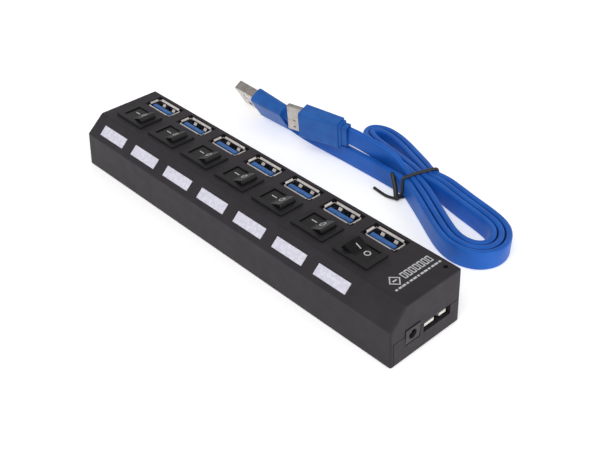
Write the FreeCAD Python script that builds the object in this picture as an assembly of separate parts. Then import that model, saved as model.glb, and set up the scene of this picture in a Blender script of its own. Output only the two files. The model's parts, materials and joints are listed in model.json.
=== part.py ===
"""A seven-port USB hub with a switch and a lit window for each port, and its data cable.

Millimetres, +Z up. X runs along the row of ports, Y runs from the sloped front to the
back, and the origin is the middle of the hub's footprint on the table. Each node is one
separate piece of the real hub, or one group of identical small pieces.
"""
import FreeCAD, Part
import math
import os

from FreeCAD import Vector

# Case
CASE_LENGTH = 161.4          # at the top; the ends lean out towards the table
END_FLARE = 1.4              # how far each end leans out
CASE_WIDTH = 34.0
CASE_HEIGHT = 21.6
SLOPE_RUN = 7.1              # the sloped window face, front to back
SLOPE_DROP = 6.9             # and top to bottom
WALL = 2.0
SEAM_HEIGHT = 9.35
FRONT_JOINT = 1.2            # the bottom cover starts this far behind the front
SEAM_GAP = 0.25
SEAM_DEPTH = 0.5
CORNER_RADIUS = 0.8

# Ports and switches, on one pitch
UNITS = 7
PITCH = 20.0
FIRST_X = -67.2
PORT_Y = 11.3
SWITCH_Y = -0.95

# USB-A receptacle, standard sizes
PORT_OPENING = (12.5, 5.12)
STEEL = 0.3
LIP_REACH = 0.75             # how far the mouth's lips flare out
LIP_RISE = 0.8
LIP_LONG = 11.2
LIP_SHORT = 3.7
MOUTH_CUT = (15.4, 7.9)
TONGUE = (10.9, 1.85)
TONGUE_GAP = 0.7             # from the front wall of the shell
TONGUE_RECESS = 0.5
PLUG_DEPTH = 12.6
FINGER_X = 3.0
FINGER_HALF = 0.8
FINGER_BOW = 0.8

# Rocker switch, the 15 x 10.5 mm size
BEZEL = (15.3, 10.7, 0.9)
BEZEL_WINDOW = (11.2, 7.5)
SWITCH_CASE = (13.9, 9.5)
SWITCH_BOTTOM = 12.0
ROCKER_WIDTH = 7.1
ROCKER_SHIFT = 0.4           # the rocker sits this far behind the bezel's middle
ROCKER_RADIUS = 5.3
ROCKER_SKIRT = 2.4           # its sides reach this far below the pivot
ROCKER_TAIL = (2.0, 1.2, 5.2)   # half width above and below, and depth below the pivot
ROCKER_CREST = 0.8           # the middle of its top above the pivot
ROCKER_VALLEY = 12.0         # degrees, each half's slope with the rocker level
ROCKER_TILT = 12.0           # degrees, from level to either stop
PIVOT_DROP = 0.3             # the pivot below the case top
TRUNNION = (0.9, 0.45)       # radius and how far it stands out

# Windows on the slope
WINDOW = (14.5, 4.2)
WINDOW_SHIFT = -0.3
WINDOW_AT = 0.56             # place down the slope
WINDOW_THICK = 1.6

# Board
BOARD_BOTTOM = 4.2
BOARD_THICK = 1.6
BOARD_TOP = BOARD_BOTTOM + BOARD_THICK
BOARD_LENGTH = 156.6
BOARD_WIDTH = 29.0

# Screw posts
POSTS = [(-76.6, -7.3), (-76.4, 11.4), (64.8, -11.0), (64.8, 11.4)]
POST_RADIUS = 2.1
SCREW_RADIUS = 1.0
SCREW_HEAD = (2.0, 0.9)

# Right end
END_X = CASE_LENGTH / 2
JACK_FACE = 0.95             # how far past the top's end
JACK_Y = -6.7
JACK_Z = 8.75
JACK = (6.8, 5.9, 11.0)
JACK_GAP = 0.3
JACK_BORE = 1.8
JACK_DEPTH = 9.0
JACK_PIN = 0.65
UPLINK_FACE = 0.3
UPLINK_Y = 5.45
UPLINK_Z = 7.75
UPLINK = (13.0, 3.5, 7.0)
UPLINK_GAP = 0.2
UPLINK_TONGUE = (-0.75, 0.45)   # its underside and top from the middle
UPLINK_RECESS = 0.2
LED_AT = (76.6, 13.7)
LED_HOLE = 0.9

# Data cable: a flat ribbon on its edge, tied in a hank behind the hub
RIBBON = (8.0, 2.3)
STRANDS = 6
STRAND_PITCH = 2.5
TIE_AT = (22.8, 65.2)
HANK_ENDS = [
    ((-8.5, 77.2), 6.9, (23.7, 67.4), 5.4),
    (TIE_AT, 7.6, (62.2, 52.4), 13.6),
]
STRAND_HEADING = -17.0       # degrees, the strands' direction at the tie
LEAD_A_ROUTE = [(-41.0, 57.9), (-28.0, 59.5), (-4.0, 59.7), (20.6, 58.6)]
LEAD_A_TOP = 7.0
LEAD_B_ROUTE = [(-9.2, 59.9, 14.0), (0.5, 61.2, 11.2), (12.0, 62.7, 6.6), (23.0, 64.2, 4.0)]
TIE_WIRE = 1.3

# A plug
A_TIP = (-73.6, 59.2, 8.0)
A_YAW = -2.3
A_LEAN = 32.0
A_METAL = (12.4, 4.5, 12.0)
A_BODY = (18.4, 7.2, 13.4)
A_BODY_REAR = 5.8            # its thickness where the cable goes in
A_BOOT = (2.0, 3.6, 8.8)

# Micro-B plug
B_TIP = (-37.0, 52.1, 14.1)
B_YAW = 13.8
B_LEAN = 7.5
B_METAL = (7.2, 1.9, 11.6)
B_BODY = (17.9, 7.8, 12.2)
B_BODY_REAR = 5.8
B_STEPS = [(1.2, 4.9, 10.8), (2.4, 4.0, 9.4)]


def box(x0, x1, y0, y1, z0, z1):
    return Part.makeBox(x1 - x0, y1 - y0, z1 - z0, Vector(x0, y0, z0))


def block(cx, cy, lx, ly, z0, z1):
    return box(cx - lx / 2, cx + lx / 2, cy - ly / 2, cy + ly / 2, z0, z1)


def rod(x, y, z0, z1, radius):
    return Part.makeCylinder(radius, z1 - z0, Vector(x, y, z0))


def prism(points, along):
    """The closed outline through points, swept by the vector along."""
    wire = Part.makePolygon(points + [points[0]])
    return Part.Face(wire).extrude(along)


def save(name, shape):
    shape.exportStep("parts/" + name + ".step")
    line = "%-18s volume %9.2f  solids %d  valid %s"
    print(line % (name, shape.Volume, len(shape.Solids), shape.isValid()))


def unit_x(n):
    return FIRST_X + PITCH * n


# ---------------------------------------------------------------- case

def case_profile(inset, x):
    """Corners of the case's cross-section, moved in by inset, in the plane at x."""
    slope = math.hypot(SLOPE_RUN, SLOPE_DROP)
    half = CASE_WIDTH / 2 - inset
    top = CASE_HEIGHT - inset
    shift = inset * (slope - SLOPE_RUN) / SLOPE_DROP
    rise = inset * (slope - SLOPE_DROP) / SLOPE_RUN
    knee_y = -CASE_WIDTH / 2 + SLOPE_RUN + shift
    knee_z = CASE_HEIGHT - SLOPE_DROP - rise
    corners = [(-half, inset), (half, inset), (half, top), (knee_y, top), (-half, knee_z)]
    return [Vector(x, y, z) for y, z in corners]


def case_outer():
    """The closed outside of the case, with its leaning ends and rounded edges."""
    reach = CASE_LENGTH / 2 + END_FLARE
    body = prism(case_profile(0, -reach), Vector(2 * reach, 0, 0))
    for side in (-1, 1):
        foot = Vector(side * reach, -CASE_WIDTH, 0)
        head = Vector(side * CASE_LENGTH / 2, -CASE_WIDTH, CASE_HEIGHT)
        beyond = Vector(side * (reach + 5), -CASE_WIDTH, CASE_HEIGHT)
        below = Vector(side * (reach + 5), -CASE_WIDTH, 0)
        body = body.cut(prism([foot, head, beyond, below], Vector(0, 2 * CASE_WIDTH, 0)))
    return body.makeFillet(CORNER_RADIUS, body.Edges)


def case_cavity():
    reach = CASE_LENGTH / 2 - WALL + 0.2
    return prism(case_profile(WALL, -reach), Vector(2 * reach, 0, 0))


def below_seam(top):
    """Everything that belongs to the bottom cover."""
    reach = CASE_LENGTH / 2 + END_FLARE + 5
    return box(-reach, reach, -CASE_WIDTH / 2 + FRONT_JOINT, CASE_WIDTH, -1, top)


def seam_groove():
    """The fine line round the outside where the two covers meet."""
    reach = CASE_LENGTH / 2 + END_FLARE * 0.6 - SEAM_DEPTH
    band = box(-200, 200, -50, 50, SEAM_HEIGHT, SEAM_HEIGHT + SEAM_GAP)
    slab = below_seam(SEAM_HEIGHT + SEAM_GAP).common(band)
    core = box(-reach, reach, -50, CASE_WIDTH / 2 - SEAM_DEPTH, SEAM_HEIGHT - 1, SEAM_HEIGHT + 1)
    return slab.cut(core)


def slope_place():
    """Places a piece made flat at the origin (face up) on the middle of a window."""
    down = Vector(0, -SLOPE_RUN, -SLOPE_DROP)
    start = Vector(0, -CASE_WIDTH / 2 + SLOPE_RUN, CASE_HEIGHT)
    middle = start + down * WINDOW_AT
    angle = math.degrees(math.atan2(SLOPE_DROP, SLOPE_RUN))
    return middle, FreeCAD.Rotation(Vector(1, 0, 0), angle)


def on_slope(shape, x):
    middle, turn = slope_place()
    shape.Placement = FreeCAD.Placement(Vector(x, middle.y, middle.z), turn)
    return shape


def window_plate(extra, z0, z1):
    return block(0, 0, WINDOW[0] + 2 * extra, WINDOW[1] + 2 * extra, z0, z1)


def end_hole(y, z, half_wide, half_tall):
    return box(END_X - 5, END_X + 5, y - half_wide, y + half_wide, z - half_tall, z + half_tall)


def end_openings():
    """Cut-outs for the power jack and the uplink receptacle, half in each cover."""
    jack = end_hole(JACK_Y, JACK_Z, JACK[0] / 2 + JACK_GAP, JACK[1] / 2 + JACK_GAP)
    uplink = end_hole(UPLINK_Y, UPLINK_Z, UPLINK[0] / 2 + UPLINK_GAP, UPLINK[1] / 2 + UPLINK_GAP)
    return jack.fuse(uplink)


def top_cover():
    cover = case_outer().cut(case_cavity()).cut(below_seam(SEAM_HEIGHT)).cut(seam_groove())
    cutters = []
    for n in range(UNITS):
        x = unit_x(n)
        cutters.append(block(x, PORT_Y, MOUTH_CUT[0], MOUTH_CUT[1], CASE_HEIGHT - 4, CASE_HEIGHT + 1))
        cutters.append(block(x, SWITCH_Y, SWITCH_CASE[0] + 0.2, SWITCH_CASE[1] + 0.2,
                             CASE_HEIGHT - 4, CASE_HEIGHT + 1))
        cutters.append(on_slope(window_plate(0.05, -4, 2), x + WINDOW_SHIFT))
    cutters.append(rod(LED_AT[0], LED_AT[1], CASE_HEIGHT - 4, CASE_HEIGHT + 1, LED_HOLE))
    cutters.append(end_openings())
    for cutter in cutters:
        cover = cover.cut(cutter)
    for x, y in POSTS:
        post = rod(x, y, BOARD_TOP, CASE_HEIGHT - WALL + 0.5, POST_RADIUS)
        post = post.common(prism(case_profile(WALL - 0.3, -90), Vector(180, 0, 0)))
        pilot = rod(x, y, BOARD_TOP - 1, BOARD_TOP + 6, SCREW_RADIUS)
        cover = cover.fuse(post).cut(pilot)
    return cover.removeSplitter()


def joint_groove():
    """The fine line down each end, behind the front panel."""
    reach = CASE_LENGTH / 2 + END_FLARE * 0.6 - SEAM_DEPTH
    y0 = -CASE_WIDTH / 2 + FRONT_JOINT
    both = box(-reach - 5, reach + 5, y0, y0 + SEAM_GAP, -1, SEAM_HEIGHT)
    return both.cut(box(-reach, reach, y0 - 1, y0 + 1, -2, SEAM_HEIGHT + 1))


def bottom_cover():
    tray = case_outer().cut(case_cavity()).common(below_seam(SEAM_HEIGHT))
    tray = tray.cut(end_openings()).cut(joint_groove())
    for x, y in POSTS:
        tray = tray.fuse(rod(x, y, WALL - 0.5, BOARD_BOTTOM, POST_RADIUS + 0.6))
        tray = tray.cut(rod(x, y, -1, BOARD_BOTTOM + 1, SCREW_RADIUS + 0.2))
        tray = tray.cut(rod(x, y, -1, SCREW_HEAD[1] + 0.3, SCREW_HEAD[0] + 0.2))
    return tray.removeSplitter()


def case_screws():
    screws = []
    for x, y in POSTS:
        head = rod(x, y, 0.3, 0.3 + SCREW_HEAD[1], SCREW_HEAD[0])
        slot = block(x, y, 0.5, 2.4, 0.2, 0.7)
        cross = block(x, y, 2.4, 0.5, 0.2, 0.7)
        shank = rod(x, y, 0.3 + SCREW_HEAD[1], BOARD_TOP + 5.5, SCREW_RADIUS)
        screws.append(head.fuse(shank).cut(slot).cut(cross).removeSplitter())
    return Part.makeCompound(screws)


def window_lens():
    plate = window_plate(0, -WINDOW_THICK, -0.1)
    rim = window_plate(0.9, -WALL - 0.9, -WALL)
    neck = window_plate(0, -WALL - 0.1, -WINDOW_THICK + 0.1)
    return plate.fuse(neck).fuse(rim).removeSplitter()


# ---------------------------------------------------------------- board

def main_board():
    board = block(0, 0, BOARD_LENGTH, BOARD_WIDTH, BOARD_BOTTOM, BOARD_TOP)
    for x, y in POSTS:
        board = board.cut(rod(x, y, BOARD_BOTTOM - 1, BOARD_TOP + 1, SCREW_RADIUS + 0.3))
    return board


def hub_chips():
    chips = []
    for x in (2.8, 42.8):
        chips.append(block(x, 3.0, 8.0, 8.0, BOARD_TOP, BOARD_TOP + 0.9))
    return Part.makeCompound(chips)


def board_parts():
    parts = []
    for x in (-8.5, 31.0):
        parts.append(block(x, -7.5, 5.0, 3.2, BOARD_TOP, BOARD_TOP + 1.0))
    for n in range(UNITS):
        parts.append(block(unit_x(n) - 3.0, -8.2, 2.0, 1.25, BOARD_TOP, BOARD_TOP + 1.2))
        parts.append(block(unit_x(n) + 3.0, 6.9, 1.6, 0.8, BOARD_TOP, BOARD_TOP + 0.6))
    parts.append(rod(66.0, -4.5, BOARD_TOP, BOARD_TOP + 7.0, 2.5))
    return Part.makeCompound(parts)


def window_leds():
    leds = []
    for n in range(UNITS):
        leds.append(block(unit_x(n) + WINDOW_SHIFT, -12.3, 3.2, 1.6, BOARD_TOP, BOARD_TOP + 1.1))
    return Part.makeCompound(leds)


def power_led():
    x, y = LED_AT
    stem = rod(x, y, BOARD_TOP + 8, CASE_HEIGHT - WALL - 0.3, 1.1)
    tip = rod(x, y, CASE_HEIGHT - WALL - 0.3, CASE_HEIGHT - 0.6, 0.75)
    legs = block(x - 0.6, y, 0.5, 0.5, BOARD_TOP, BOARD_TOP + 8)
    other = block(x + 0.6, y, 0.5, 0.5, BOARD_TOP, BOARD_TOP + 8)
    return stem.fuse(tip).fuse(legs).fuse(other).removeSplitter()


# ---------------------------------------------------------------- USB-A ports

def lip(length, base_z):
    """One flared lip of a port's mouth. It runs along X and leans towards +Y."""
    corners = [
        Vector(-length / 2, 0, base_z),
        Vector(-length / 2, STEEL, base_z),
        Vector(-length / 2, STEEL + LIP_REACH, base_z + LIP_RISE - 0.25),
        Vector(-length / 2, STEEL + LIP_REACH - 0.2, base_z + LIP_RISE),
        Vector(-length / 2, STEEL + LIP_REACH - 0.45, base_z + LIP_RISE),
    ]
    return prism(corners, Vector(length, 0, 0))


def finger(top, wall_y, inward):
    """One contact spring of the shell, bowed into the opening from wall_y."""
    corners = [
        Vector(-FINGER_HALF, wall_y - inward * 0.1, top),
        Vector(-FINGER_HALF, wall_y + inward * FINGER_BOW, top - 1.0),
        Vector(-FINGER_HALF, wall_y + inward * FINGER_BOW, top - 1.6),
        Vector(-FINGER_HALF, wall_y + inward * 0.05, top - 6.0),
        Vector(-FINGER_HALF, wall_y - inward * 0.1, top - 6.0),
    ]
    return prism(corners, Vector(2 * FINGER_HALF, 0, 0))


def port_shell():
    half_x = PORT_OPENING[0] / 2
    half_y = PORT_OPENING[1] / 2
    lip_base = CASE_HEIGHT - LIP_RISE + 0.15
    shell = block(0, 0, PORT_OPENING[0] + 2 * STEEL, PORT_OPENING[1] + 2 * STEEL, BOARD_TOP, lip_base)
    shell = shell.cut(block(0, 0, PORT_OPENING[0], PORT_OPENING[1], BOARD_TOP - 1, lip_base + 1))
    sides = [
        (0, half_y, LIP_LONG),
        (90, half_x, LIP_SHORT),
        (180, half_y, LIP_LONG),
        (270, half_x, LIP_SHORT),
    ]
    for turn, out, length in sides:
        piece = lip(length, lip_base - 0.3)
        piece.translate(Vector(0, out, 0))
        piece.rotate(Vector(0, 0, 0), Vector(0, 0, 1), turn)
        shell = shell.fuse(piece)
    for x in (-FINGER_X, FINGER_X):
        back = finger(lip_base - 0.4, half_y, -1)
        back.translate(Vector(x, 0, 0))
        shell = shell.fuse(back)
    return shell.removeSplitter()


def tongue_centre():
    return -PORT_OPENING[1] / 2 + TONGUE_GAP + TONGUE[1] / 2


def port_tongue():
    floor = CASE_HEIGHT - PLUG_DEPTH
    base = block(0, 0, PORT_OPENING[0] - 0.1, PORT_OPENING[1] - 0.1, BOARD_TOP, floor)
    top = CASE_HEIGHT - TONGUE_RECESS
    tongue = block(0, tongue_centre(), TONGUE[0], TONGUE[1], floor - 0.5, top)
    rim = [e for e in tongue.Edges if e.BoundBox.ZMin > top - 0.01]
    tongue = tongue.makeChamfer(0.3, rim)
    return base.fuse(tongue).removeSplitter()


def port_contacts():
    """Four long and five short contact springs lying on the back of each tongue."""
    face = tongue_centre() + TONGUE[1] / 2
    floor = CASE_HEIGHT - PLUG_DEPTH
    springs = []
    for n in range(UNITS):
        x = unit_x(n)
        y = PORT_Y + face
        for at in (-3.5, -1.0, 1.0, 3.5):
            springs.append(box(x + at - 0.5, x + at + 0.5, y, y + 0.2, floor, CASE_HEIGHT - 2.6))
        for at in (-4.0, -2.0, 0.0, 2.0, 4.0):
            springs.append(box(x + at - 0.3, x + at + 0.3, y, y + 0.15, CASE_HEIGHT - 2.2, CASE_HEIGHT - 1.2))
    return Part.makeCompound(springs)


# ---------------------------------------------------------------- switches

def pivot_z():
    return CASE_HEIGHT - PIVOT_DROP


def switch_body():
    top = CASE_HEIGHT + BEZEL[2]
    plate = block(0, 0, BEZEL[0], BEZEL[1], CASE_HEIGHT, top)
    rim = [e for e in plate.Edges if e.BoundBox.ZMin > top - 0.01]
    plate = plate.makeChamfer(0.35, rim)
    body = plate.fuse(block(0, 0, SWITCH_CASE[0], SWITCH_CASE[1], SWITCH_BOTTOM, CASE_HEIGHT))
    floor = SWITCH_BOTTOM + 1.2
    body = body.cut(block(0, ROCKER_SHIFT, BEZEL_WINDOW[0], BEZEL_WINDOW[1], floor, top + 1))
    long = BEZEL_WINDOW[1] + 2 * (TRUNNION[1] + 0.03)
    start = Vector(0, ROCKER_SHIFT - long / 2, pivot_z())
    bore = Part.makeCylinder(TRUNNION[0] + 0.15, long, start, Vector(0, 1, 0))
    return body.cut(bore).removeSplitter()


def switch_rocker(tilt):
    """The rocker, turned by tilt degrees about its pivot: positive lowers the +X half."""
    half = ROCKER_WIDTH / 2
    drum = Part.makeCylinder(ROCKER_RADIUS, ROCKER_WIDTH, Vector(0, -half, 0), Vector(0, 1, 0))
    rise = 10 * math.tan(math.radians(ROCKER_VALLEY))
    near = -half - 1
    upper, lower, depth = ROCKER_TAIL
    keep = [
        Vector(-10, near, ROCKER_CREST + rise),
        Vector(0, near, ROCKER_CREST),
        Vector(10, near, ROCKER_CREST + rise),
        Vector(10, near, -ROCKER_SKIRT),
        Vector(upper, near, -ROCKER_SKIRT),
        Vector(lower, near, -depth),
        Vector(-lower, near, -depth),
        Vector(-upper, near, -ROCKER_SKIRT),
        Vector(-10, near, -ROCKER_SKIRT),
    ]
    rocker = drum.common(prism(keep, Vector(0, ROCKER_WIDTH + 2, 0)))
    start = Vector(0, -half - TRUNNION[1], 0)
    pin = Part.makeCylinder(TRUNNION[0], ROCKER_WIDTH + 2 * TRUNNION[1], start, Vector(0, 1, 0))
    rocker = rocker.fuse(pin).removeSplitter()
    rocker.rotate(Vector(0, 0, 0), Vector(0, 1, 0), tilt)
    rocker.translate(Vector(0, ROCKER_SHIFT, pivot_z()))
    return rocker


def rest_tilt(n):
    """The last switch is off (O half down), and the others are on."""
    return ROCKER_TILT if n == UNITS - 1 else -ROCKER_TILT


def switch_terminals():
    blades = []
    for n in range(UNITS):
        for at in (-4.0, 4.0):
            blades.append(block(unit_x(n) + at, SWITCH_Y, 2.0, 0.6, BOARD_TOP, SWITCH_BOTTOM))
    return Part.makeCompound(blades)


# ---------------------------------------------------------------- right end

def dc_jack_body():
    x1 = END_X + JACK_FACE
    wide, tall, deep = JACK
    body = box(x1 - deep, x1, JACK_Y - wide / 2, JACK_Y + wide / 2, JACK_Z - tall / 2, JACK_Z + tall / 2)
    start = Vector(x1 - JACK_DEPTH, JACK_Y, JACK_Z)
    bore = Part.makeCylinder(JACK_BORE, JACK_DEPTH + 1, start, Vector(1, 0, 0))
    return body.cut(bore)


def dc_jack_pin():
    start = END_X + JACK_FACE - JACK_DEPTH
    pin = Part.makeCylinder(JACK_PIN, JACK_DEPTH - 1.0, Vector(start, JACK_Y, JACK_Z), Vector(1, 0, 0))
    tip = [e for e in pin.Edges if e.BoundBox.XMin > start + JACK_DEPTH - 1.1]
    return pin.makeChamfer(0.2, tip)


def uplink_shell():
    x1 = END_X + UPLINK_FACE
    wide, tall, deep = UPLINK
    z0 = UPLINK_Z - tall / 2
    shell = box(x1 - deep, x1, UPLINK_Y - wide / 2, UPLINK_Y + wide / 2, z0, z0 + tall)
    shell = shell.cut(box(x1 - deep - 1, x1 + 1, UPLINK_Y - wide / 2 + STEEL, UPLINK_Y + wide / 2 - STEEL,
                          z0 + STEEL, z0 + tall - STEEL))
    divider = box(x1 - deep, x1, UPLINK_Y + 0.05, UPLINK_Y + 0.95, z0 + tall - 1.3, z0 + tall)
    return shell.fuse(divider).removeSplitter()


def uplink_tongue():
    x1 = END_X + UPLINK_FACE
    wide, tall, deep = UPLINK
    z0 = UPLINK_Z - tall / 2
    half = wide / 2 - STEEL
    base = box(x1 - deep, x1 - deep + 1.5, UPLINK_Y - half, UPLINK_Y + half, z0 + STEEL, z0 + tall - 1.35)
    low = UPLINK_Z + UPLINK_TONGUE[0]
    high = UPLINK_Z + UPLINK_TONGUE[1]
    end = x1 - UPLINK_RECESS
    long_one = box(x1 - deep, end, UPLINK_Y - 5.5, UPLINK_Y - 0.8, low, high)
    short_one = box(x1 - deep, end, UPLINK_Y + 1.9, UPLINK_Y + 5.2, low, high)
    return base.fuse(long_one).fuse(short_one).removeSplitter()


# ---------------------------------------------------------------- data cable

def hull_of_discs(centre_a, radius_a, centre_b, radius_b):
    """The outline of a belt round two discs, as a face at z = 0."""
    a = Vector(centre_a[0], centre_a[1], 0)
    b = Vector(centre_b[0], centre_b[1], 0)
    span = b - a
    heading = math.atan2(span.y, span.x)
    spread = math.acos((radius_a - radius_b) / span.Length)

    def at(centre, radius, angle):
        return centre + Vector(math.cos(angle), math.sin(angle), 0) * radius

    a_up = at(a, radius_a, heading + spread)
    a_down = at(a, radius_a, heading - spread)
    b_up = at(b, radius_b, heading + spread)
    b_down = at(b, radius_b, heading - spread)
    edges = [
        Part.Arc(a_up, at(a, radius_a, heading + math.pi), a_down).toShape(),
        Part.LineSegment(a_down, b_down).toShape(),
        Part.Arc(b_down, at(b, radius_b, heading), b_up).toShape(),
        Part.LineSegment(b_up, a_up).toShape(),
    ]
    return Part.Face(Part.Wire(edges))


def cable_hank():
    """The tied hank as one closed solid of its outer shape."""
    hank = None
    for ends in HANK_ENDS:
        half = hull_of_discs(*ends).extrude(Vector(0, 0, RIBBON[0]))
        hank = half if hank is None else hank.fuse(half)
    return hank.removeSplitter()


def arc_radii(route):
    """The largest arc that each corner's two runs allow."""
    radii = []
    for before, corner, after in zip(route, route[1:], route[2:]):
        first = corner - before
        second = after - corner
        turn = first.getAngle(second)
        radii.append(0.45 * min(first.Length, second.Length) / math.tan(turn / 2))
    return radii


def rounded_wire(route):
    """Straight runs along the route, joined by tangent arcs."""
    edges = []
    here = route[0]
    for corner, after, before, radius in zip(route[1:], route[2:], route, arc_radii(route)):
        back = (before - corner).normalize()
        on = (after - corner).normalize()
        turn = math.pi - back.getAngle(on)
        cut = radius * math.tan(turn / 2)
        start = corner + back * cut
        end = corner + on * cut
        inward = (back + on).normalize()
        middle = corner + inward * (radius / math.cos(turn / 2) - radius)
        edges.append(Part.LineSegment(here, start).toShape())
        edges.append(Part.Arc(start, middle, end).toShape())
        here = end
    edges.append(Part.LineSegment(here, route[-1]).toShape())
    return Part.Wire(edges)


def strip(route, side, rise):
    """A ribbon: the route, widened by the vector side and swept by the vector rise."""
    wire = rounded_wire(route)
    lower = wire.copy()
    lower.translate(side * -0.5)
    upper = wire.copy()
    upper.translate(side * 0.5)
    start = Part.LineSegment(lower.OrderedVertexes[0].Point, upper.OrderedVertexes[0].Point).toShape()
    end = Part.LineSegment(lower.OrderedVertexes[-1].Point, upper.OrderedVertexes[-1].Point).toShape()
    outline = Part.Wire(Part.__sortEdges__(lower.Edges + upper.Edges + [start, end]))
    return Part.Face(outline).extrude(rise)


def cable_lead_a():
    """The stretch to the A plug, which lies on its edge under the other plug."""
    route = [Vector(x, y, 0) for x, y in LEAD_A_ROUTE]
    print("lead A radii", [round(r) for r in arc_radii(route)])
    return strip(route, Vector(0, RIBBON[1], 0), Vector(0, 0, LEAD_A_TOP))


def cable_lead_b():
    """The stretch to the Micro-B plug, which comes down to the table."""
    first = LEAD_B_ROUTE[0]
    last = LEAD_B_ROUTE[-1]
    heading = Vector(last[0] - first[0], last[1] - first[1], 0).normalize()
    origin = Vector(first[0], first[1], 0)
    route = []
    for x, y, z in LEAD_B_ROUTE:
        ahead = (Vector(x, y, 0) - origin).dot(heading)
        route.append(origin + heading * ahead + Vector(0, 0, z))
    print("lead B radii", [round(r) for r in arc_radii(route)])
    across = Vector(-heading.y, heading.x, 0) * RIBBON[1]
    piece = strip(route, Vector(0, 0, RIBBON[0]), across)
    piece.translate(across * -0.5)
    return piece


def cable_tie():
    """The twist tie: one loop over the bundle, its twisted knot and two tails."""
    wire = TIE_WIRE
    long_side = STRANDS * STRAND_PITCH + 1.6
    tall = RIBBON[0] + wire + 0.3
    loop = block(0, 0, wire, long_side + 2 * wire, 0, tall)
    loop = loop.cut(block(0, 0, wire + 2, long_side, wire * 0.5, tall - wire))
    loop.rotate(Vector(0, 0, 0), Vector(0, 0, 1), STRAND_HEADING)
    loop.translate(Vector(TIE_AT[0], TIE_AT[1], 0))
    out = Vector(math.sin(math.radians(STRAND_HEADING)), -math.cos(math.radians(STRAND_HEADING)), 0)
    knot_at = Vector(TIE_AT[0], TIE_AT[1], 1.0) + out * (long_side / 2 + wire)
    knot = Part.makeCylinder(wire * 0.7, 3.0, knot_at - out * 1.0, out)
    tail = Part.makeCylinder(wire / 2, 9.0, knot_at + out * 1.5, Vector(-1, -0.06, 0))
    bar_foot = knot_at + out * 1.6
    bar = Part.makeCylinder(wire / 2, 9.5, bar_foot, Vector(-0.62, 0.36, 0.72))
    return loop.fuse(knot).fuse(tail).fuse(bar).removeSplitter()


def lay(shape, tip, yaw, lean):
    """Lays a plug, made along +X from its tip, where it belongs."""
    shape.rotate(Vector(0, 0, 0), Vector(1, 0, 0), lean)
    shape.rotate(Vector(0, 0, 0), Vector(0, 0, 1), yaw)
    shape.translate(Vector(*tip))
    return shape


def bar_along(x0, x1, thick, tall):
    return box(x0, x1, -thick / 2, thick / 2, -tall / 2, tall / 2)


def rounded_bar(x0, x1, thick, tall, radius):
    bar = bar_along(x0, x1, thick, tall)
    return bar.makeFillet(radius, [e for e in bar.Edges if e.BoundBox.XLength > (x1 - x0) * 0.9])


def tapered_bar(x0, size, rear, radius):
    """A grip that gets thinner from its front, at x0, to rear at the cable."""
    length, thick, tall = size
    x1 = x0 + length
    corners = [
        Vector(x0, -thick / 2, -tall / 2),
        Vector(x1, -rear / 2, -tall / 2),
        Vector(x1, rear / 2, -tall / 2),
        Vector(x0, thick / 2, -tall / 2),
    ]
    bar = prism(corners, Vector(0, 0, tall))
    return bar.makeFillet(radius, [e for e in bar.Edges if e.BoundBox.XLength > length * 0.9])


def a_plug_shell():
    length, thick, tall = A_METAL
    shell = rounded_bar(0, length, thick, tall, 0.5)
    shell = shell.cut(bar_along(-1, length + 1, thick - 2 * STEEL, tall - 2 * STEEL))
    for z in (-2.6, 2.6):
        shell = shell.cut(box(4.4, 6.8, -thick, thick, z - 1.1, z + 1.1))
    return lay(shell, A_TIP, A_YAW, A_LEAN)


def a_plug_insert():
    length, thick, tall = A_METAL
    y0 = thick / 2 - STEEL - 1.95
    insert = box(0.4, length, y0, thick / 2 - STEEL, -tall / 2 + STEEL, tall / 2 - STEEL)
    for z in (-3.5, -1.0, 1.0, 3.5):
        insert = insert.fuse(box(1.6, 9.0, y0 - 0.15, y0, z - 0.5, z + 0.5))
    return lay(insert.removeSplitter(), A_TIP, A_YAW, A_LEAN)


def a_plug_body():
    start = A_METAL[0]
    body = tapered_bar(start, A_BODY, A_BODY_REAR, 1.6)
    boot = bar_along(start + A_BODY[0], start + A_BODY[0] + A_BOOT[0], A_BOOT[1], A_BOOT[2])
    return lay(body.fuse(boot), A_TIP, A_YAW, A_LEAN)


def micro_plug_shell():
    length, thick, tall = B_METAL
    shell = bar_along(0, length, thick, tall)
    shell = shell.cut(bar_along(-1, length + 1, thick - 0.5, tall - 0.5))
    fold = box(0, length, thick / 2 - 0.6, thick / 2, 0.4, 1.2)
    shell = shell.fuse(fold)
    for z in (-4.3, -1.2):
        shell = shell.fuse(box(2.6, 3.6, -thick / 2 - 0.3, -thick / 2 + 0.1, z - 0.4, z + 0.4))
    return lay(shell.removeSplitter(), B_TIP, B_YAW, B_LEAN)


def micro_plug_body():
    start = B_METAL[0]
    body = tapered_bar(start, B_BODY, B_BODY_REAR, 0.9)
    start += B_BODY[0]
    for length, thick, tall in B_STEPS:
        body = body.fuse(rounded_bar(start, start + length, thick, tall, 0.8))
        start += length
    return lay(body.removeSplitter(), B_TIP, B_YAW, B_LEAN)


# ---------------------------------------------------------------- all of it

def placed(shape, x, y):
    shape.translate(Vector(x, y, 0))
    return shape


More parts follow.
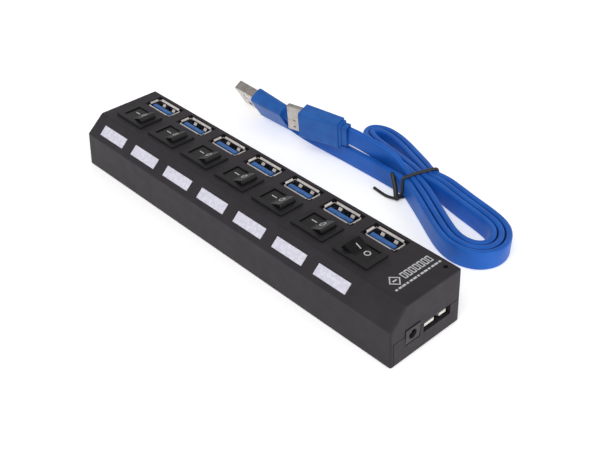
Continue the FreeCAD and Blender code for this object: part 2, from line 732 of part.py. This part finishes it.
def main():
    os.makedirs("parts", exist_ok=True)
    singles = [
        top_cover, bottom_cover, case_screws, main_board, hub_chips, board_parts, window_leds, power_led,
        port_contacts, switch_terminals, dc_jack_body, dc_jack_pin, uplink_shell, uplink_tongue,
        cable_hank, cable_lead_a, cable_lead_b, cable_tie,
        a_plug_shell, a_plug_insert, a_plug_body, micro_plug_shell, micro_plug_body,
    ]
    for make in singles:
        save(make.__name__, make())
    for n in range(UNITS):
        x = unit_x(n)
        tag = "_%d" % (n + 1)
        save("port_shell" + tag, placed(port_shell(), x, PORT_Y))
        save("port_tongue" + tag, placed(port_tongue(), x, PORT_Y))
        save("switch_body" + tag, placed(switch_body(), x, SWITCH_Y))
        save("switch_rocker" + tag, placed(switch_rocker(rest_tilt(n)), x, SWITCH_Y))
        save("window_lens" + tag, on_slope(window_lens(), x + WINDOW_SHIFT))


main()
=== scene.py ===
"""Looks for the USB hub: materials, printed marks, the ribbon cable and its twist tie.

Lengths below are millimetres in the part's own frame, and MM turns them into metres.
"""
import bpy
import bmesh
import json
import math
from mathutils import Matrix, Vector

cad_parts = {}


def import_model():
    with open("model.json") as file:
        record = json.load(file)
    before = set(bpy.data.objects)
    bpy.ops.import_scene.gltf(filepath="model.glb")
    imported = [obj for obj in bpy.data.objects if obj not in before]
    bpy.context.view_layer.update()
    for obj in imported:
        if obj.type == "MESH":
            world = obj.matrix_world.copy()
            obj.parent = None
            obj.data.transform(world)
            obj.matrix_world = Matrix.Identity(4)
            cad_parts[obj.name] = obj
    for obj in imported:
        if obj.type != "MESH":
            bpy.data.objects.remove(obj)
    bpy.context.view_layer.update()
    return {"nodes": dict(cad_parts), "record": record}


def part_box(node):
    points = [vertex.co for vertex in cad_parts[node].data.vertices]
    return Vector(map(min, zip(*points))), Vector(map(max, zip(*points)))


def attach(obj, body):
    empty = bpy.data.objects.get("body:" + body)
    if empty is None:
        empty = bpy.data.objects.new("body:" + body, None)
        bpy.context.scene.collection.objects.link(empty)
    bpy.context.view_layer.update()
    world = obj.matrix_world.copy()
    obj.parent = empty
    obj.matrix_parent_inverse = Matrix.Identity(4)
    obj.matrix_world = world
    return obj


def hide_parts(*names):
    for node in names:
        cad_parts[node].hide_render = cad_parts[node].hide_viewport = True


MM = 0.001
UNITS = 7

# Camera
EYE = Vector((217.9, -190.7, 218.0))
AIM = Vector((7.5, 15.7, 0.0))
ROLL = math.radians(-0.675)
LENS = 58.4
CEILING = 0.25

# Ribbon cable, as in the part: a flat ribbon on its edge
RIBBON_WIDE = 8.0
RIBBON_THICK = 2.3
STRAND_PITCH = 2.85
TIE_PITCH = 2.5
TIE_AT = Vector((24.2, 64.8, 0))
STRAND_HEADING = math.radians(-17.0)
TIE_LIFT = 0.7
LEAD_A = [
    (-41.0, 57.8, 8.0), (-36.0, 58.7, 6.4), (-29.0, 60.0, 4.5),
    (-18.0, 60.3, 4.0), (-6.0, 60.2, 4.0), (8.0, 60.1, 4.0),
]
LEAD_B = [
    (-9.4, 58.9, 14.1), (-4.5, 60.2, 13.4), (1.2, 61.9, 11.6),
    (6.0, 63.4, 10.2), (10.8, 64.2, 8.7), (15.8, 63.5, 6.6),
]
LEAD_A_LEAN = [32, 22, 8, 0, 0, 0]
LEAD_B_LEAN = [8, 7, 6, 4, 2, 1]
# the middle line of the innermost turn at each end, from the back strand to the front one
RIGHT_TURN = [
    (32.5, 66.3), (39.3, 65.0), (46.1, 63.6), (53.4, 62.3), (59.3, 61.0), (63.6, 59.4), (66.5, 56.6),
    (68.1, 53.2), (68.0, 49.9), (66.3, 47.2), (63.1, 45.8), (59.0, 45.8), (54.8, 47.2), (49.7, 49.9),
    (43.7, 53.4), (37.0, 57.3), (29.8, 61.1),
]
LEFT_TURN = [
    (17.8, 72.2), (10.7, 75.2), (2.8, 78.4), (-4.4, 80.3), (-9.8, 80.4), (-13.0, 78.4), (-12.2, 75.7),
    (-8.0, 73.9), (-1.8, 72.5), (5.3, 71.2), (11.3, 69.9), (17.3, 68.4),
]


# ---------------------------------------------------------------- small helpers

def new_object(name, mesh, material):
    piece = bpy.data.objects.new(name, mesh)
    bpy.context.collection.objects.link(piece)
    if material is not None:
        mesh.materials.clear()
        mesh.materials.append(material)
    return piece


def mesh_from(name, points, faces, smooth=True):
    mesh = bpy.data.meshes.new(name)
    mesh.from_pydata([tuple(p) for p in points], [], faces)
    mesh.validate()
    mesh.update()
    for polygon in mesh.polygons:
        polygon.use_smooth = smooth
    return mesh


def joined(name, parts, material):
    """One object from a list of (points, faces)."""
    points = []
    faces = []
    for some_points, some_faces in parts:
        start = len(points)
        points += some_points
        faces += [tuple(i + start for i in face) for face in some_faces]
    return new_object(name, mesh_from(name, points, faces, smooth=False), material)


def plate(corners, normal, thick):
    """A thin raised plate with the given outline, corners in order."""
    low = [Vector(c) for c in corners]
    high = [c + normal * thick for c in low]
    count = len(low)
    sides = [(i, (i + 1) % count, count + (i + 1) % count, count + i) for i in range(count)]
    return low + high, [tuple(range(count))[::-1], tuple(range(count, 2 * count))] + sides


def ring(outer, inner, normal, thick):
    """A raised frame between two outlines with the same number of corners."""
    count = len(outer)
    low = [Vector(c) for c in outer] + [Vector(c) for c in inner]
    high = [c + normal * thick for c in low]
    faces = []
    top = 2 * count
    for i in range(count):
        j = (i + 1) % count
        faces.append((top + i, top + j, top + count + j, top + count + i))
        faces.append((j, i, count + i, count + j))
        faces.append((i, j, top + j, top + i))
        faces.append((count + j, count + i, top + count + i, top + count + j))
    return low + high, faces


# ---------------------------------------------------------------- materials

class Shader:
    """A Principled material with a few ready-made procedural layers."""

    def __init__(self, name, color, roughness, metallic=0.0, **sockets):
        self.material = bpy.data.materials.new(name)
        self.material.use_nodes = True
        self.tree = self.material.node_tree
        self.bsdf = self.tree.nodes["Principled BSDF"]
        self.bsdf.inputs["Base Color"].default_value = (*color, 1.0)
        self.bsdf.inputs["Roughness"].default_value = roughness
        self.bsdf.inputs["Metallic"].default_value = metallic
        for socket, value in sockets.items():
            self.bsdf.inputs[socket.replace("_", " ")].default_value = value
        self.place = self.tree.nodes.new("ShaderNodeTexCoord").outputs["Object"]
        self.normal = None

    def noise(self, size_mm, detail=3.0):
        """Noise whose features are about size_mm across."""
        node = self.tree.nodes.new("ShaderNodeTexNoise")
        node.inputs["Scale"].default_value = 1.0 / (size_mm * MM)
        node.inputs["Detail"].default_value = detail
        self.tree.links.new(self.place, node.inputs["Vector"])
        return node.outputs["Fac"]

    def ramp(self, source, low, high, start=0.35, end=0.65):
        node = self.tree.nodes.new("ShaderNodeValToRGB")
        node.color_ramp.elements[0].position = start
        node.color_ramp.elements[0].color = (*low, 1.0)
        node.color_ramp.elements[1].position = end
        node.color_ramp.elements[1].color = (*high, 1.0)
        self.tree.links.new(source, node.inputs["Fac"])
        return node.outputs["Color"]

    def mottle(self, size_mm, low, high, detail=3.0):
        """Colour that drifts between two near shades."""
        colours = self.ramp(self.noise(size_mm, detail), low, high)
        self.tree.links.new(colours, self.bsdf.inputs["Base Color"])
        return self

    def vary_roughness(self, size_mm, low, high):
        node = self.tree.nodes.new("ShaderNodeMapRange")
        node.inputs["To Min"].default_value = low
        node.inputs["To Max"].default_value = high
        self.tree.links.new(self.noise(size_mm), node.inputs["Value"])
        self.tree.links.new(node.outputs["Result"], self.bsdf.inputs["Roughness"])
        return self

    def bump(self, source, height_mm, strength=1.0):
        node = self.tree.nodes.new("ShaderNodeBump")
        node.inputs["Distance"].default_value = height_mm * MM
        node.inputs["Strength"].default_value = strength
        self.tree.links.new(source, node.inputs["Height"])
        if self.normal is not None:
            self.tree.links.new(self.normal, node.inputs["Normal"])
        self.normal = node.outputs["Normal"]
        self.tree.links.new(self.normal, self.bsdf.inputs["Normal"])
        return self

    def grain(self, size_mm, height_mm, strength=1.0):
        return self.bump(self.noise(size_mm, 2.0), height_mm, strength)


def case_plastic():
    shader = Shader("case_plastic", (0.0200, 0.0165, 0.0210), 0.5, Specular_IOR_Level=0.28)
    shader.mottle(6.0, (0.0180, 0.0145, 0.0190), (0.0230, 0.0190, 0.0240))
    shader.vary_roughness(4.0, 0.48, 0.62)
    shader.grain(0.35, 0.05, 0.6)
    return shader.material


def switch_plastic():
    shader = Shader("switch_plastic", (0.009, 0.0085, 0.010), 0.4, Specular_IOR_Level=0.25)
    shader.mottle(5.0, (0.008, 0.0075, 0.009), (0.011, 0.0105, 0.012))
    shader.grain(0.25, 0.02, 0.4)
    return shader.material


def rocker_plastic():
    shader = Shader("rocker_plastic", (0.006, 0.006, 0.007), 0.3, Specular_IOR_Level=0.25)
    shader.mottle(4.0, (0.005, 0.005, 0.006), (0.008, 0.008, 0.009))
    shader.grain(0.3, 0.015, 0.4)
    return shader.material


def nickel():
    shader = Shader("nickel", (0.66, 0.61, 0.58), 0.22, metallic=1.0)
    shader.mottle(3.0, (0.58, 0.53, 0.50), (0.72, 0.68, 0.65))
    shader.vary_roughness(1.5, 0.16, 0.30)
    shader.grain(0.6, 0.01, 0.5)
    return shader.material


def dark_nickel():
    shader = Shader("dark_nickel", (0.05, 0.048, 0.046), 0.4, metallic=0.8)
    shader.mottle(2.0, (0.04, 0.038, 0.036), (0.06, 0.058, 0.056))
    return shader.material


def tongue_plastic():
    shader = Shader("tongue_plastic", (0.014, 0.10, 0.34), 0.38)
    shader.mottle(1.5, (0.011, 0.085, 0.29), (0.022, 0.125, 0.39))
    shader.grain(0.2, 0.01, 0.4)
    return shader.material


def gold():
    shader = Shader("gold", (0.90, 0.72, 0.36), 0.25, metallic=1.0)
    shader.mottle(1.0, (0.84, 0.66, 0.32), (0.94, 0.78, 0.42))
    return shader.material


def brass_blades():
    shader = Shader("tinned_brass", (0.72, 0.66, 0.52), 0.35, metallic=1.0)
    shader.mottle(1.5, (0.66, 0.58, 0.44), (0.78, 0.73, 0.62))
    return shader.material


def window_white():
    shader = Shader("window_white", (0.64, 0.63, 0.71), 0.5, Subsurface_Weight=0.2, Specular_IOR_Level=0.3)
    shader.bsdf.inputs["Subsurface Radius"].default_value = (0.002, 0.002, 0.002)
    shader.mottle(1.2, (0.58, 0.57, 0.67), (0.70, 0.69, 0.77))
    shader.grain(0.3, 0.02, 0.5)
    return shader.material


def board_mask():
    shader = Shader("solder_mask", (0.01, 0.12, 0.05), 0.3, Coat_Weight=0.4)
    shader.mottle(2.0, (0.008, 0.10, 0.04), (0.015, 0.16, 0.07))
    shader.grain(1.0, 0.01, 0.5)
    return shader.material


def chip_mould():
    shader = Shader("chip_mould", (0.03, 0.03, 0.03), 0.6)
    shader.grain(0.1, 0.01, 0.6)
    return shader.material


def screw_steel():
    shader = Shader("screw_steel", (0.55, 0.55, 0.56), 0.35, metallic=1.0)
    shader.mottle(0.8, (0.48, 0.48, 0.49), (0.60, 0.60, 0.61))
    return shader.material


def jack_plastic():
    shader = Shader("jack_plastic", (0.024, 0.022, 0.025), 0.45, Specular_IOR_Level=0.3)
    shader.mottle(2.0, (0.021, 0.019, 0.022), (0.028, 0.026, 0.029))
    shader.grain(0.3, 0.015, 0.4)
    return shader.material


def pale_insulator():
    shader = Shader("pale_insulator", (0.72, 0.70, 0.66), 0.35)
    shader.mottle(0.8, (0.66, 0.64, 0.60), (0.78, 0.76, 0.72))
    return shader.material


def led_packages():
    shader = Shader("led_packages", (0.85, 0.80, 0.45), 0.35)
    shader.mottle(0.8, (0.80, 0.74, 0.38), (0.90, 0.86, 0.55))
    return shader.material


def led_lens():
    shader = Shader("led_lens", (0.005, 0.003, 0.003), 0.3, Specular_IOR_Level=0.2)
    shader.mottle(0.6, (0.004, 0.002, 0.002), (0.007, 0.004, 0.004))
    return shader.material


def ribbon_vinyl():
    shader = Shader("ribbon_vinyl", (0.008, 0.100, 0.45), 0.38, Specular_IOR_Level=0.25)
    shader.mottle(9.0, (0.007, 0.092, 0.42), (0.010, 0.115, 0.49))
    shader.vary_roughness(5.0, 0.36, 0.48)
    shader.grain(0.5, 0.02, 0.4)
    return shader.material


def overmould_vinyl():
    shader = Shader("overmould_vinyl", (0.010, 0.100, 0.40), 0.42, Specular_IOR_Level=0.3)
    shader.mottle(5.0, (0.009, 0.092, 0.37), (0.013, 0.118, 0.44))
    shader.grain(0.35, 0.03, 0.5)
    return shader.material


def plug_steel():
    shader = Shader("plug_steel", (0.52, 0.48, 0.45), 0.24, metallic=1.0)
    shader.mottle(2.0, (0.46, 0.42, 0.39), (0.58, 0.54, 0.51))
    shader.vary_roughness(1.5, 0.18, 0.34)
    return shader.material


def tie_plastic():
    shader = Shader("tie_plastic", (0.012, 0.012, 0.014), 0.4)
    shader.mottle(1.5, (0.010, 0.010, 0.011), (0.018, 0.018, 0.020))
    shader.grain(0.4, 0.03, 0.5)
    return shader.material


def print_ink():
    shader = Shader("print_ink", (0.52, 0.52, 0.53), 0.6)
    shader.mottle(0.5, (0.46, 0.46, 0.47), (0.58, 0.58, 0.59))
    return shader.material


def floor_paper():
    shader = Shader("floor_paper", (0.93, 0.93, 0.93), 0.9, Emission_Strength=0.35)
    shader.bsdf.inputs["Emission Color"].default_value = (1, 1, 1, 1)
    shader.mottle(60.0, (0.925, 0.925, 0.925), (0.935, 0.935, 0.935))
    return shader.material


def dress_nodes(frame):
    """Gives each CAD node its material."""
    looks = {
        "top_cover": case_plastic, "bottom_cover": case_plastic, "case_screws": screw_steel,
        "main_board": board_mask, "hub_chips": chip_mould, "board_parts": chip_mould,
        "port_shell": nickel, "port_tongue": tongue_plastic, "port_contacts": gold,
        "switch_body": switch_plastic, "switch_rocker": rocker_plastic, "switch_terminals": brass_blades,
        "window_lens": window_white, "window_leds": led_packages, "power_led": led_lens,
        "dc_jack_body": jack_plastic, "dc_jack_pin": brass_blades,
        "uplink_shell": dark_nickel, "uplink_tongue": pale_insulator,
        "a_plug_shell": plug_steel, "a_plug_insert": tongue_plastic, "a_plug_body": overmould_vinyl,
        "micro_plug_shell": plug_steel, "micro_plug_body": overmould_vinyl,
    }
    made = {}
    for name, node in frame["nodes"].items():
        kind = name.rstrip("1234567").rstrip("_") if name[-1] in "1234567" else name
        if kind not in looks:
            continue
        maker = looks[kind]
        if maker not in made:
            made[maker] = maker()
        for slot in node.material_slots:
            slot.material = made[maker]


# ---------------------------------------------------------------- marks

def rocker_frame(frame, n):
    """Where a rocker's pivot is, and how far the rocker is turned at rest, in degrees."""
    joint = next(j for j in frame["record"]["behaviour"]["joints"] if j["name"] == "rocker_%d_tilt" % n)
    low, high = joint["range_deg"]
    return Vector(joint["pos_m"]), -(low + high) / 2


def rocker_marks(frame, material):
    """The I and O on each rocker: a bar on the -X half and a ring on the +X half."""
    crest = 0.8
    valley = math.radians(12.0)
    place = 2.1
    shift = 0.5
    reach = 1.25
    ink = 0.05
    for n in range(1, UNITS + 1):
        pivot, tilt = rocker_frame(frame, n)
        parts = []
        for side in (-1, 1):
            along = Vector((side * math.cos(valley), 0, math.sin(valley)))
            normal = Vector((-side * math.sin(valley), 0, math.cos(valley)))
            middle = Vector((0, 0, crest)) + along * place + normal * 0.01 + Vector((0, shift, 0))
            if side < 0:
                u = along * reach
                v = Vector((0, 0.2, 0))
                corners = [middle - u - v, middle + u - v, middle + u + v, middle - u + v]
                if normal.dot((corners[1] - corners[0]).cross(corners[2] - corners[1])) < 0:
                    corners.reverse()
                parts.append(plate(corners, normal, ink))
            else:
                outer = []
                inner = []
                for k in range(28):
                    turn = 2 * math.pi * k / 28
                    spoke = along * math.cos(turn) + Vector((0, math.sin(turn), 0))
                    outer.append(middle + spoke * reach)
                    inner.append(middle + spoke * 0.85)
                parts.append(ring(outer, inner, normal, ink))
        turn = Matrix.Rotation(math.radians(tilt), 3, "Y")
        placed = []
        for points, faces in parts:
            placed.append(([pivot + (turn @ p) * MM for p in points], faces))
        piece = joined("rocker_marks_%d" % n, placed, material)
        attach(piece, "rocker_%d" % n)


def rectangle(cx, cy, half_x, half_y, z):
    return [Vector((cx - half_x, cy - half_y, z)), Vector((cx + half_x, cy - half_y, z)),
            Vector((cx + half_x, cy + half_y, z)), Vector((cx - half_x, cy + half_y, z))]


def top_print(material):
    """A lozenge, a row of seven little port outlines and a broken rule, printed near the right end."""
    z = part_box("top_cover")[1][2] / MM + 0.005
    up = Vector((0, 0, 1))
    parts = []
    lozenge = [Vector((70.1 + a, -3.6 + b, z)) for a, b in ((0, -2.6), (2.6, 0), (0, 2.6), (-2.6, 0))]
    hollow = [Vector((70.1 + a, -3.6 + b, z)) for a, b in ((0, -2.0), (2.0, 0), (0, 2.0), (-2.0, 0))]
    parts.append(ring(lozenge, hollow, up, 0.03))
    parts.append(plate(rectangle(70.1, -3.6, 0.3, 0.9, z), up, 0.03))
    for k in range(UNITS):
        y = 0.6 + 2.05 * k
        parts.append(ring(rectangle(70.3, y, 1.55, 0.8, z), rectangle(70.3, y, 1.1, 0.42, z), up, 0.03))
    for k in range(13):
        length = 0.5 + 0.15 * (k % 3)
        parts.append(plate(rectangle(73.6, -6.6 + 1.75 * k, 0.38, length, z), up, 0.03))
    parts = [([p * MM for p in points], faces) for points, faces in parts]
    piece = joined("top_print", parts, material)
    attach(piece, "hub")


# ---------------------------------------------------------------- cable

def strand_at_tie(place):
    """Where the strand that lies place pitches behind the bundle's middle crosses the tie."""
    back = Vector((-math.sin(STRAND_HEADING), math.cos(STRAND_HEADING), 0))
    return TIE_AT + back * (place * TIE_PITCH)


def end_turn(points, inner_back, inner_front, layer):
    """One turn of the hank, from its back strand at the tie to its front one."""
    start = strand_at_tie(inner_back)
    end = strand_at_tie(inner_front)
    side = 1 if points is RIGHT_TURN else -1
    line = [start] + [Vector((x, y, 0)) for x, y in points] + [end]
    moved = []
    for before, here, after in zip(line, line[1:], line[2:]):
        ahead = (after - before).normalized()
        normal = Vector((-ahead.y, ahead.x, 0)) * side
        moved.append(here + normal * (layer * STRAND_PITCH - 0.3))
    return moved


def cable_route():
    """The whole cord, from the Micro-B plug to the A plug, as (point, lean in degrees)."""
    route = [(Vector(p), lean) for p, lean in zip(LEAD_B, LEAD_B_LEAN)]
    turns = [
        (end_turn(RIGHT_TURN, 0.5, -0.5, 1), True, -1.5),
        (end_turn(LEFT_TURN, 1.5, 0.5, 0), False, 1.5),
        (end_turn(RIGHT_TURN, 0.5, -0.5, 0), False, 0.5),
        (end_turn(LEFT_TURN, 1.5, 0.5, 1), True, -0.5),
        (end_turn(RIGHT_TURN, 0.5, -0.5, 2), False, 2.5),
    ]
    for turn, reverse, place in turns:
        flat = [strand_at_tie(place)] + (turn[::-1] if reverse else turn)
        for point in flat:
            near = (point - TIE_AT).length / 12.0
            lift = TIE_LIFT * math.exp(-near * near)
            route.append((Vector((point.x, point.y, RIBBON_WIDE / 2 + lift)), 0.0))
    last = strand_at_tie(-2.5)
    route.append((Vector((last.x, last.y, RIBBON_WIDE / 2 + TIE_LIFT)), 0.0))
    route += [(Vector(p), lean) for p, lean in zip(LEAD_A[::-1], LEAD_A_LEAN[::-1])]
    return route


def smooth_line(name, points, resolution=8):
    """The NURBS line through the route's control points, read back as points in metres."""
    curve = bpy.data.curves.new(name, "CURVE")
    curve.dimensions = "3D"
    curve.resolution_u = resolution
    spline = curve.splines.new("NURBS")
    spline.points.add(len(points) - 1)
    for slot, point in zip(spline.points, points):
        slot.co = (*(point * MM), 1.0)
    spline.order_u = 3
    spline.use_endpoint_u = True
    holder = bpy.data.objects.new(name, curve)
    bpy.context.collection.objects.link(holder)
    mesh = bpy.data.meshes.new_from_object(holder)
    line = [v.co.copy() for v in mesh.vertices]
    bpy.data.meshes.remove(mesh)
    bpy.data.objects.remove(holder)
    bpy.data.curves.remove(curve)
    return line


def ribbon_section():
    """The ribbon's outline, across and up, with soft edges."""
    half_t = RIBBON_THICK / 2
    half_w = RIBBON_WIDE / 2
    corner = 0.8
    outline = []
    for k in range(5):
        turn = math.pi / 2 * k / 4
        across = half_t - corner + corner * math.cos(turn)
        outline.append((across, half_w - corner + corner * math.sin(turn)))
    side = [(half_t, 0.0), (half_t, half_w * 0.4)]
    quarter = side + outline
    left = [(-a, b) for a, b in reversed(quarter)]
    top = quarter + left[:-1]
    bottom = [(-a, -b) for a, b in top]
    return [(a * MM, b * MM) for a, b in top + bottom]


def ribbon(line, leans, material):
    section = ribbon_section()
    count = len(section)
    points = []
    faces = []
    for i, here in enumerate(line):
        ahead = (line[min(i + 1, len(line) - 1)] - line[max(i - 1, 0)]).normalized()
        across = ahead.cross(Vector((0, 0, 1))).normalized()
        up = across.cross(ahead).normalized()
        turn = Matrix.Rotation(leans[i], 3, ahead)
        across = turn @ across
        up = turn @ up
        points += [here + across * a + up * b for a, b in section]
    for i in range(len(line) - 1):
        for k in range(count):
            j = (k + 1) % count
            a = i * count
            b = (i + 1) * count
            faces.append((a + k, b + k, b + j, a + j))
    faces.append(tuple(range(count)))
    last = (len(line) - 1) * count
    faces.append(tuple(last + k for k in reversed(range(count))))
    mesh = mesh_from("data_ribbon", points, faces)
    fix = bmesh.new()
    fix.from_mesh(mesh)
    bmesh.ops.recalc_face_normals(fix, faces=fix.faces)
    fix.to_mesh(mesh)
    fix.free()
    return new_object("data_ribbon", mesh, material)


def lean_along(line, route):
    """The ribbon's lean at each point of the line, from the nearest control points."""
    leans = []
    share = (len(route) - 1) / (len(line) - 1)
    for i in range(len(line)):
        place = i * share
        k = min(int(place), len(route) - 2)
        mix = place - k
        lean = route[k][1] * (1 - mix) + route[k + 1][1] * mix
        leans.append(math.radians(lean))
    return leans


def tube(name, points, radius, material, resolution=10):
    """A round wire along a smooth line."""
    line = smooth_line(name + "_line", points, resolution)
    rim = 12
    mesh_points = []
    faces = []
    side = None
    for i, here in enumerate(line):
        ahead = (line[min(i + 1, len(line) - 1)] - line[max(i - 1, 0)]).normalized()
        if side is None:
            side = ahead.orthogonal().normalized()
        side = (side - ahead * side.dot(ahead)).normalized()
        other = ahead.cross(side)
        for k in range(rim):
            turn = 2 * math.pi * k / rim
            mesh_points.append(here + (side * math.cos(turn) + other * math.sin(turn)) * radius * MM)
    for i in range(len(line) - 1):
        for k in range(rim):
            j = (k + 1) % rim
            faces.append((i * rim + k, i * rim + j, (i + 1) * rim + j, (i + 1) * rim + k))
    faces.append(tuple(reversed(range(rim))))
    last = (len(line) - 1) * rim
    faces.append(tuple(last + k for k in range(rim)))
    return mesh_points, faces


def twist_tie(material):
    """The black wire tie: a loop round the bundle, a twisted knot and two tails."""
    back = Vector((-math.sin(STRAND_HEADING), math.cos(STRAND_HEADING), 0))
    along = Vector((math.cos(STRAND_HEADING), math.sin(STRAND_HEADING), 0))
    radius = 0.62
    half = 3 * TIE_PITCH + radius + 0.1
    top = RIBBON_WIDE + TIE_LIFT + radius + 0.1

    def at(b, z, a=0.0):
        return TIE_AT + back * b + along * a + Vector((0, 0, z))

    loop = [at(-half - 1.2, 1.4, 0.9), at(-half, 2.2, 0.6), at(-half, 5.0, 0.3), at(-half, top - 0.4),
            at(-half + 1.4, top), at(0, top + 0.1, -0.3), at(half - 1.4, top), at(half, top - 1.0),
            at(half, 4.0, 0.2), at(half, 1.4, 0.3), at(half - 1.6, 0.65, 0.3), at(0, 0.65, 0.5),
            at(-half + 1.4, 0.65, 0.7), at(-half - 0.6, 0.9, 0.8),
            at(-half - 1.6, 1.2, 1.0)]
    knot_a = []
    knot_b = []
    for k in range(10):
        turn = math.pi * k / 3
        spot = at(-half - 0.9 - 0.24 * k, 1.35, 0.5 + 0.06 * k)
        swirl = along * math.cos(turn) * 0.6 + Vector((0, 0, 1)) * math.sin(turn) * 0.6
        knot_a.append(spot + swirl)
        knot_b.append(spot - swirl)
    end = at(-half - 3.2, 1.35, 1.1)
    tail_steps = [(0, 0, 0), (-2.5, -0.6, -0.5), (-6.5, -0.6, -0.7), (-11.5, 0.2, -0.7)]
    bar_steps = [(0, 0, 0), (-0.6, 0.9, 0.6), (-3.4, 2.9, 3.6), (-6.6, 4.7, 6.6)]
    tail = [end + Vector(step) for step in tail_steps]
    bar = [end + Vector(step) for step in bar_steps]
    parts = [
        tube("tie_loop", loop, radius, material),
        tube("tie_knot_a", knot_a, radius, material, 4),
        tube("tie_knot_b", knot_b, radius, material, 4),
        tube("tie_tail", tail, radius, material),
        tube("tie_bar", bar, radius * 1.5, material),
    ]
    piece = joined("twist_tie", parts, material)
    for polygon in piece.data.polygons:
        polygon.use_smooth = True
    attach(piece, "data_cable")
    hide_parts("cable_tie")
    return piece


def data_cable():
    vinyl = ribbon_vinyl()
    route = cable_route()
    line = smooth_line("ribbon_line", [point for point, lean in route])
    piece = ribbon(line, lean_along(line, route), vinyl)
    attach(piece, "data_cable")
    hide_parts("cable_hank", "cable_lead_a", "cable_lead_b")
    tie = twist_tie(tie_plastic())


# ---------------------------------------------------------------- stage

def camera():
    lens = bpy.data.cameras.new("camera")
    lens.lens = LENS
    lens.sensor_width = 36.0
    lens.clip_start = 0.01
    lens.clip_end = 20.0
    holder = bpy.data.objects.new("camera", lens)
    bpy.context.collection.objects.link(holder)
    forward = (AIM - EYE).normalized()
    level = forward.cross(Vector((0, 0, 1))).normalized()
    turn = Matrix.Rotation(ROLL, 3, forward)
    right = turn @ level
    up = right.cross(forward)
    basis = Matrix((right, up, -forward)).transposed()
    holder.matrix_world = Matrix.Translation(EYE * MM) @ basis.to_4x4()
    bpy.context.scene.camera = holder


def area_light(name, place, target, size, power, color=(1, 1, 1)):
    light = bpy.data.lights.new(name, "AREA")
    light.shape = "RECTANGLE"
    light.size = size[0]
    light.size_y = size[1]
    light.energy = power
    light.color = color
    holder = bpy.data.objects.new(name, light)
    holder.location = place
    holder.rotation_euler = (Vector(target) - Vector(place)).to_track_quat("-Z", "Y").to_euler()
    bpy.context.collection.objects.link(holder)


def sky():
    """A white studio whose ceiling is dimmer than its walls."""
    world = bpy.data.worlds.new("studio")
    world.use_nodes = True
    nodes = world.node_tree.nodes
    links = world.node_tree.links
    place = nodes.new("ShaderNodeTexCoord")
    split = nodes.new("ShaderNodeSeparateXYZ")
    ramp = nodes.new("ShaderNodeValToRGB")
    ramp.color_ramp.elements[0].position = 0.25
    ramp.color_ramp.elements[0].color = (1, 1, 1, 1)
    ramp.color_ramp.elements[1].position = 0.85
    ramp.color_ramp.elements[1].color = (CEILING, CEILING, CEILING, 1)
    links.new(place.outputs["Generated"], split.inputs["Vector"])
    links.new(split.outputs["Z"], ramp.inputs["Fac"])
    links.new(ramp.outputs["Color"], nodes["Background"].inputs["Color"])
    bpy.context.scene.world = world


def stage():
    corners = [(-6, -6, 0), (6, -6, 0), (6, 6, 0), (-6, 6, 0)]
    floor = new_object("floor", mesh_from("floor", corners, [(0, 1, 2, 3)]), floor_paper())
    sky()
    area_light("key", (0.2, -0.7, 1.1), (0, 0.03, 0), (0.9, 0.9), 7.5)
    area_light("side", (1.1, 0.15, 0.5), (0, 0.03, 0), (0.6, 0.6), 4.0)
    bpy.context.scene.view_settings.view_transform = "Standard"


# ---------------------------------------------------------------- all of it


def build():
    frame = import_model()
    camera()
    dress_nodes(frame)
    rocker_marks(frame, print_ink())
    top_print(print_ink())
    data_cable()
    stage()


build()
